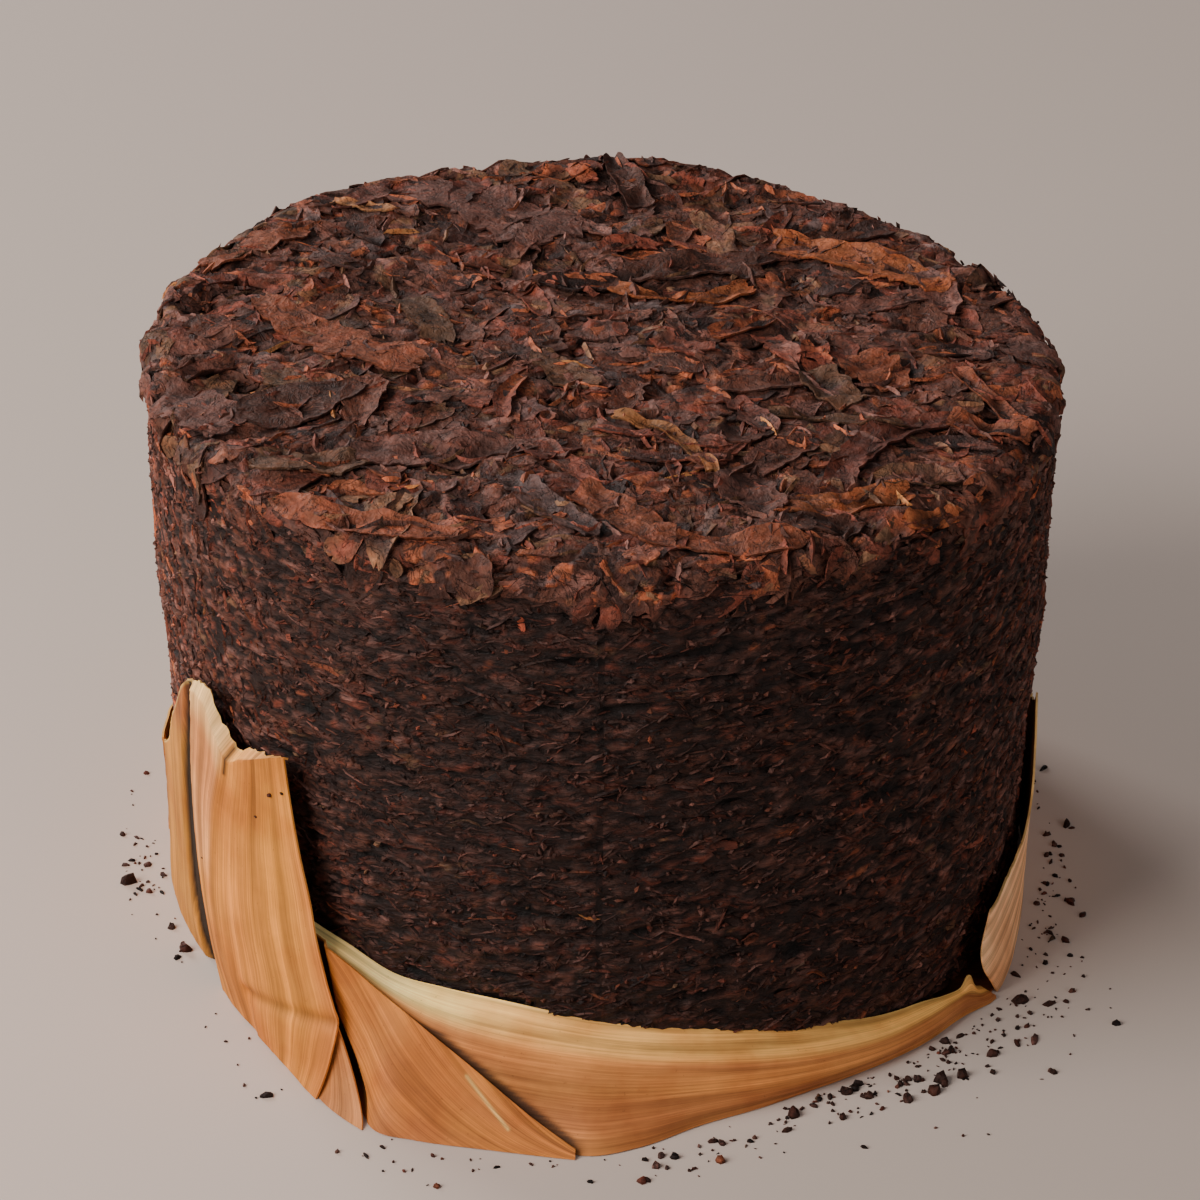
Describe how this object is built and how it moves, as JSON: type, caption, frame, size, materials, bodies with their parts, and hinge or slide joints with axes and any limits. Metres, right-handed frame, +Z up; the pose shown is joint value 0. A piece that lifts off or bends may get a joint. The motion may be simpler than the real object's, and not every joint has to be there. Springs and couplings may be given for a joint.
{
  "type": "pressed tea column",
  "caption": "Short round column of pressed dark tea leaves, standing in the torn-open bamboo husk that wrapped its foot.",
  "frame": {"origin": "on the surface that it stands on, at the axis of the column", "axes": "+Z up along the column's axis; -Y towards the front, where the folded corner of the husk sticks out; +X to the right as seen from the front"},
  "size_m": [0.2035, 0.2238, 0.1354],
  "materials": {
    "pressed_tea": "rough layered dry leaves with a faint sheen",
    "bamboo_husk": "dry smooth fibrous husk",
    "bamboo_husk_shaded": "dry smooth fibrous husk, darker"
  },
  "bodies": {
    "root": {"tea_column": "pressed_tea", "husk_base": "bamboo_husk_shaded", "husk_band": "bamboo_husk", "husk_triangle": "bamboo_husk_shaded", "husk_flap": "bamboo_husk", "husk_tuck": "bamboo_husk_shaded", "husk_strip": "bamboo_husk", "husk_right": "bamboo_husk", "husk_left": "bamboo_husk"}
  },
  "joints": []
}
